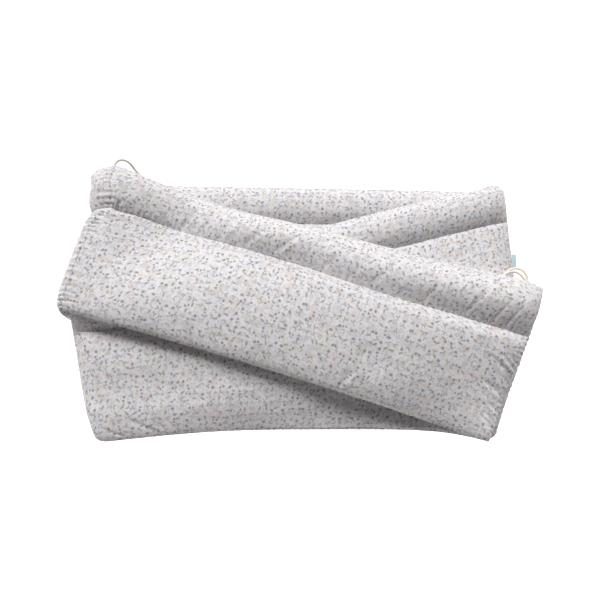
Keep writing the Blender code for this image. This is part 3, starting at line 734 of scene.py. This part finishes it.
def mark_distance(tree, shape, place, size):
    """Millimetres from a mark's outline, below 0 inside it, at a place measured from its centre."""
    def oval(where, centre, stretch, radius):
        """Distance from an oval, its radius divided by stretch each way."""
        scaled = add(tree, VECTOR_MATH, where, stretch,
                     tuple(-c * k for c, k in zip(centre, stretch)), operation="MULTIPLY_ADD")
        length = add(tree, VECTOR_MATH, scaled, operation="LENGTH", out=1)
        return add(tree, MATH, length, radius, operation="SUBTRACT")

    def either(one, other):
        return add(tree, MATH, one, other, operation="MINIMUM")

    if shape in ("dot", "blot"):
        return oval(place, (0, 0, 0), (1, 0.8, 0), size)
    if shape == "dots":
        return either(oval(place, (-2.4, 0, 0), (1, 1, 0), size),
                      oval(place, (2.8, 0.8, 0), (1, 1, 0), 0.8 * size))
    if shape == "leaf":
        return oval(place, (0, 0, 0), (0.5, 1.25, 0), 0.5 * size)
    if shape == "ring":
        outline = oval(place, (0, 0, 0), (1, 1.15, 0), size)
        outline = add(tree, MATH, outline, operation="ABSOLUTE")
        rim = add(tree, MATH, outline, 0.45, operation="SUBTRACT")
        return either(rim, oval(place, (0, 0, 0), (1, 1, 0), 0.25 * size))
    if shape == "flower":
        parts = add(tree, "ShaderNodeSeparateXYZ", place)
        heading = add(tree, MATH, parts.node.outputs[1], parts, operation="ARCTAN2")
        petals = add(tree, MATH, heading, 5.0, operation="MULTIPLY")
        wave = add(tree, MATH, petals, operation="COSINE")
        reach = add(tree, MATH, wave, 0.28 * size, operation="MULTIPLY")
        return add(tree, MATH, oval(place, (0, 0, 0), (1, 1, 0), 0.8 * size), reach, operation="SUBTRACT")
    mirrored = add(tree, "ShaderNodeSeparateXYZ", place)
    side = add(tree, MATH, mirrored, operation="ABSOLUTE")
    folded = add(tree, "ShaderNodeCombineXYZ", side, mirrored.node.outputs[1])
    leaning = add(tree, "ShaderNodeVectorRotate", folded, (0, 0, 0), None, math.radians(38),
                  rotation_type="Z_AXIS")
    leaf = oval(leaning, (0.15 * size, 0.75 * size, 0), (1.5, 0.62, 0), 0.42 * size)
    if shape == "leaves":
        return leaf
    return either(leaf, oval(place, (0, -0.35 * size, 0), (1.8, 0.42, 0), 0.34 * size))


def strewn(tree, cloth, pitch, net):
    """An uneven net over the cloth: millimetres from a cell's middle at a random turn, and two draws."""
    meshes, shift = (PER_METRE / pitch,) * 3, (NET_SHIFT[0] * net, NET_SHIFT[1] * net, 0)
    scaled = add(tree, VECTOR_MATH, cloth, meshes, shift, operation="MULTIPLY_ADD")
    cell = add(tree, "ShaderNodeTexVoronoi", scaled, voronoi_dimensions="2D")
    cell.node.inputs["Scale"].default_value = 1.0
    cell.node.inputs["Randomness"].default_value = UNEVEN
    offset = add(tree, VECTOR_MATH, scaled, cell.node.outputs["Position"], operation="SUBTRACT")
    place = add(tree, VECTOR_MATH, offset, (pitch, pitch, 0), operation="MULTIPLY")
    draws = add(tree, "ShaderNodeSeparateColor", cell.node.outputs["Color"])
    angle = add(tree, MATH, draws, 2 * math.pi, operation="MULTIPLY")
    turned = add(tree, "ShaderNodeVectorRotate", place, (0, 0, 0), None, angle, rotation_type="Z_AXIS")
    return turned, draws.node.outputs[1], draws.node.outputs[2]


def print_marks(tree, ground, motif, place, draw, tone):
    """Prints one kind of mark over the ground colour, in the cells whose draw it has."""
    distance = mark_distance(tree, motif.shape, place, motif.size)
    cover = add(tree, "ShaderNodeMapRange", distance, -motif.soft, motif.soft, motif.strength, 0.0,
                interpolation_type="SMOOTHSTEP")
    printed = add(tree, MATH, draw, (motif.low + motif.high) / 2, (motif.high - motif.low) / 2,
                  operation="COMPARE")
    amount = add(tree, MATH, cover, printed, operation="MULTIPLY")
    ink = add(tree, MIX, tone, *UNUSED, *map(linear, motif.inks), data_type="RGBA", out=2)
    return add(tree, MIX, amount, *UNUSED, ground, ink, data_type="RGBA", out=2)


def print_finish():
    """Plain-weave cotton, printed and matt: a fine even grid of threads, a faint crinkle and no gloss."""
    finish, tree, shader = new_finish("printed_plain_weave_cotton", GROUND, 0.9, 0.15)
    cloth = add(tree, "ShaderNodeUVMap", uv_map="cloth")
    colour = linear(GROUND)
    nets = {motif.net: strewn(tree, cloth, motif.pitch, motif.net) for motif in MOTIFS}
    for motif in MOTIFS:
        colour = print_marks(tree, colour, motif, *nets[motif.net])
    parts = add(tree, "ShaderNodeSeparateXYZ", cloth)
    along, across = parts, parts.node.outputs[1]
    # quilting thread: short white stitches along the channel seam
    from_seam = add(tree, MATH, across, operation="ABSOLUTE")
    on_seam = add(tree, MATH, from_seam, STITCH, operation="LESS_THAN")
    stitches = add(tree, MATH, along, 1 / STITCH_PITCH, operation="MULTIPLY")
    step = add(tree, MATH, stitches, operation="FRACT")
    thread = add(tree, MATH, step, STITCH_SHARE, operation="LESS_THAN")
    stitch = add(tree, MATH, on_seam, thread, operation="MULTIPLY")
    sewn = add(tree, MIX, stitch, *UNUSED, colour, linear("EFEDEB"), data_type="RGBA", out=2)
    tree.links.new(sewn, shader.inputs["Base Color"])
    # threads over and under each other, and the crinkle of washed cotton
    over = []
    for way in (along, across):
        turns = add(tree, MATH, way, 2 * math.pi / THREAD_PITCH, operation="MULTIPLY")
        over.append(add(tree, MATH, turns, operation="SINE"))
    weave = add(tree, MATH, *over, operation="MULTIPLY")
    crinkle = add(tree, "ShaderNodeTexNoise", cloth, None, 95.0, 3.0, 0.55)
    height = add(tree, MATH, weave, 0.05, crinkle, operation="MULTIPLY_ADD")
    bump = add(tree, "ShaderNodeBump", 0.35, 0.0016, None, height)
    tree.links.new(bump, shader.inputs["Normal"])
    return finish


cotton = print_finish()

for number, (name, panel) in enumerate(PANELS.items()):
    runs_left = name in ("second", "top")
    panel_long = lengths(panel, grid_t)
    if name == "bottom":
        upper, lower = bottom_skins(grid_s, grid_t)
        panel_long = panel_long / (1 - WRAP_SHARE)
    else:
        above = bases.get(SEWN_ABOVE.get(name))
        upper, lower = resting_skins(panel, bases[name], grid_s, grid_t, above)
    if name == "third":
        bulge_out(lower, grid_t, taper((1 - grid_s) * panel_long))
    uvs = [cloth_uv(upper, number), cloth_uv(lower, number + BACK_SHIFT)]
    middle = (upper + lower) / 2
    along, across = grid_s * panel_long, grid_t * PANEL_ACROSS + 0 * grid_s
    for k, skin in enumerate((upper, lower)):
        side = (1 if runs_left else -1) * (-1 if k else 1)
        skin += outward_normals(skin, side) * relief(name, k, along, across, panel_long)
        skin[:, :, 0], skin[:, :, -1] = middle[:, :, 0], middle[:, :, -1]
        skin[2] = np.maximum(skin[2], 0)
    grids = [(upper, uvs[0], not runs_left), (lower, uvs[1], runs_left)]
    for row, flip in ((0, False), (-1, True)):
        wall = np.stack([upper[:, row], lower[:, row]], axis=1)
        wall_uv = np.stack([uvs[0][:, row], uvs[0][:, row]], axis=1)
        grids.append((wall, wall_uv, flip != runs_left))
    for grid, _, _ in grids:
        grid += PLAN_SHIFT[:, None, None]
    piece = grid_mesh("strip_panel_" + name, grids)
    piece.data.materials.append(cotton)
    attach(piece, "root")
    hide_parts("padded_strip")

# Side label: a short woven ribbon folded double, its ends sewn into the strip's free end seam. It is left
# blank, and made of one box that is rounded and waved.
LABEL_OUT, LABEL_LONG, LABEL_THICK = 0.0080, 0.024, 0.0012
LABEL_DROOP, LABEL_TURN = 12.0, 2.1  # degrees
RIB_PITCH = 0.0011  # the ribbon's fine ribs, drawn coarser than woven to show
EDGE_FROM, EDGE_TO = 0.0016, 0.0010  # the darker edge thread sets in between these distances from the edge
PLY_SWELL, SWELL_AT, SWELL_HALF = 0.35, 0.42, 0.1  # how the two plies part a little at the fold
ROUND_AT, ROUND_DEPTH = 0.40, 0.1001  # where the fold starts to round off, and over what depth
WAVE_HIGH, WAVE_TURNS = 0.0005, 7  # the ribbon waves slightly along its width
low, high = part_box("side_label")
LABEL_MIDDLE = (low + high) / 2


def ribbon_finish():
    """Woven satin ribbon: fine ribs across it, a slight lustre, and a darker thread along each edge."""
    finish, tree, shader = new_finish("pale_blue_woven_ribbon", "B9D0D9", 0.5, 0.2)
    place = add(tree, "ShaderNodeTexCoord", out=3)
    parts = add(tree, "ShaderNodeSeparateXYZ", place)
    across = add(tree, MATH, parts.node.outputs[1], LABEL_MIDDLE.y, operation="SUBTRACT")
    from_middle = add(tree, MATH, across, operation="ABSOLUTE")
    edge = add(tree, "ShaderNodeMapRange", from_middle, LABEL_LONG / 2 - EDGE_FROM, LABEL_LONG / 2 - EDGE_TO)
    colour = add(tree, MIX, edge, *UNUSED, linear("BCD3DC"), linear("9DB9C6"), data_type="RGBA", out=2)
    tree.links.new(colour, shader.inputs["Base Color"])
    ribs = add(tree, MATH, parts, 2 * math.pi / RIB_PITCH, operation="MULTIPLY")
    height = add(tree, MATH, ribs, operation="SINE")
    bump = add(tree, "ShaderNodeBump", 0.4, 0.0003, None, height)
    tree.links.new(bump, shader.inputs["Normal"])
    return finish


bpy.ops.mesh.primitive_cube_add(size=1)
label = bpy.context.object
label.name = "side_label_ribbon"
bpy.ops.object.mode_set(mode="EDIT")
bpy.ops.mesh.subdivide(number_cuts=11)
bpy.ops.object.mode_set(mode="OBJECT")
for vertex in label.data.vertices:
    out, side, up = vertex.co
    swell = 1 + PLY_SWELL * math.exp(-((out - SWELL_AT) / SWELL_HALF) ** 2)
    round_off = math.sqrt(max(0.0, 1 - max(0.0, (out - ROUND_AT) / ROUND_DEPTH) ** 2))
    wave = WAVE_HIGH * math.sin(WAVE_TURNS * side + 1) * (out + 0.5)
    vertex.co = Vector((out * LABEL_OUT, side * LABEL_LONG, up * LABEL_THICK * swell * round_off + wave))
label.rotation_euler = (0, math.radians(LABEL_DROOP), -math.radians(LABEL_TURN))
label.location = LABEL_MIDDLE
bpy.ops.object.transform_apply(location=True, rotation=True, scale=True)
bpy.ops.object.shade_smooth()
label.data.materials.append(ribbon_finish())
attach(label, "root")
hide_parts("side_label")

# Floor and light: a matt white board, one big soft key light from behind the stack's left, and a pale room
# that is brightest on that side. The board has its own key light, which nothing else blocks: it stays white.
FLOOR_SIZE, FLOOR_DROP = 40.0, 0.0005
KEY_AZIMUTH, KEY_ELEVATION, KEY_WIDTH, KEY_STRENGTH = 14.0, 52.0, 24.0, 3.2
FLOOR_KEY = 6.0
ROOM_DIM, ROOM_BRIGHT = 0.01, 0.36  # the room's strength away from the key light and towards it
DIM_FROM, BRIGHT_FROM = 0.05, 0.95  # cosines of the angle from the key light where those are reached

bpy.ops.mesh.primitive_plane_add(size=FLOOR_SIZE, location=(0, 0, -FLOOR_DROP))
floor = bpy.context.object
floor.name = "floor"
# painted board: matt and almost white, with no gloss to draw the eye
floor.data.materials.append(new_finish("matt_white_board", "F6F5F5", 0.95, 0.0)[0])

turn, rise = math.radians(KEY_AZIMUTH), math.radians(KEY_ELEVATION)
key_from = Vector((-math.sin(turn) * math.cos(rise), math.cos(turn) * math.cos(rise), math.sin(rise)))
world = bpy.data.worlds.new("studio")
bpy.context.scene.world = world
world.use_nodes = True
sky = world.node_tree
direction = add(sky, "ShaderNodeTexCoord", out=0)
towards_key = add(sky, VECTOR_MATH, direction, tuple(key_from), operation="DOT_PRODUCT", out=1)
strength = add(sky, "ShaderNodeMapRange", towards_key, DIM_FROM, BRIGHT_FROM, ROOM_DIM, ROOM_BRIGHT)
sky.links.new(strength, sky.nodes["Background"].inputs["Strength"])
sky.nodes["Background"].inputs["Color"].default_value = linear("FFF6F7")


def key_light(name, strength, lit, blockers):
    """A soft distant light that lights only some objects and is blocked only by some."""
    lamp = bpy.data.objects.new(name, bpy.data.lights.new(name, "SUN"))
    lamp.data.energy, lamp.data.angle = strength, math.radians(KEY_WIDTH)
    lamp.rotation_euler = key_from.to_track_quat("Z", "Y").to_euler()
    bpy.context.scene.collection.objects.link(lamp)
    for title, objects in (("receiver_collection", lit), ("blocker_collection", blockers)):
        group = bpy.data.collections.new(name + "_" + title)
        for item in objects:
            group.objects.link(item)
        setattr(lamp.light_linking, title, group)


bumper = [o for o in bpy.context.scene.objects if o.type == "MESH" and o is not floor]
key_light("key", KEY_STRENGTH, bumper, bumper)
key_light("floor_key", FLOOR_KEY, [floor], [floor])
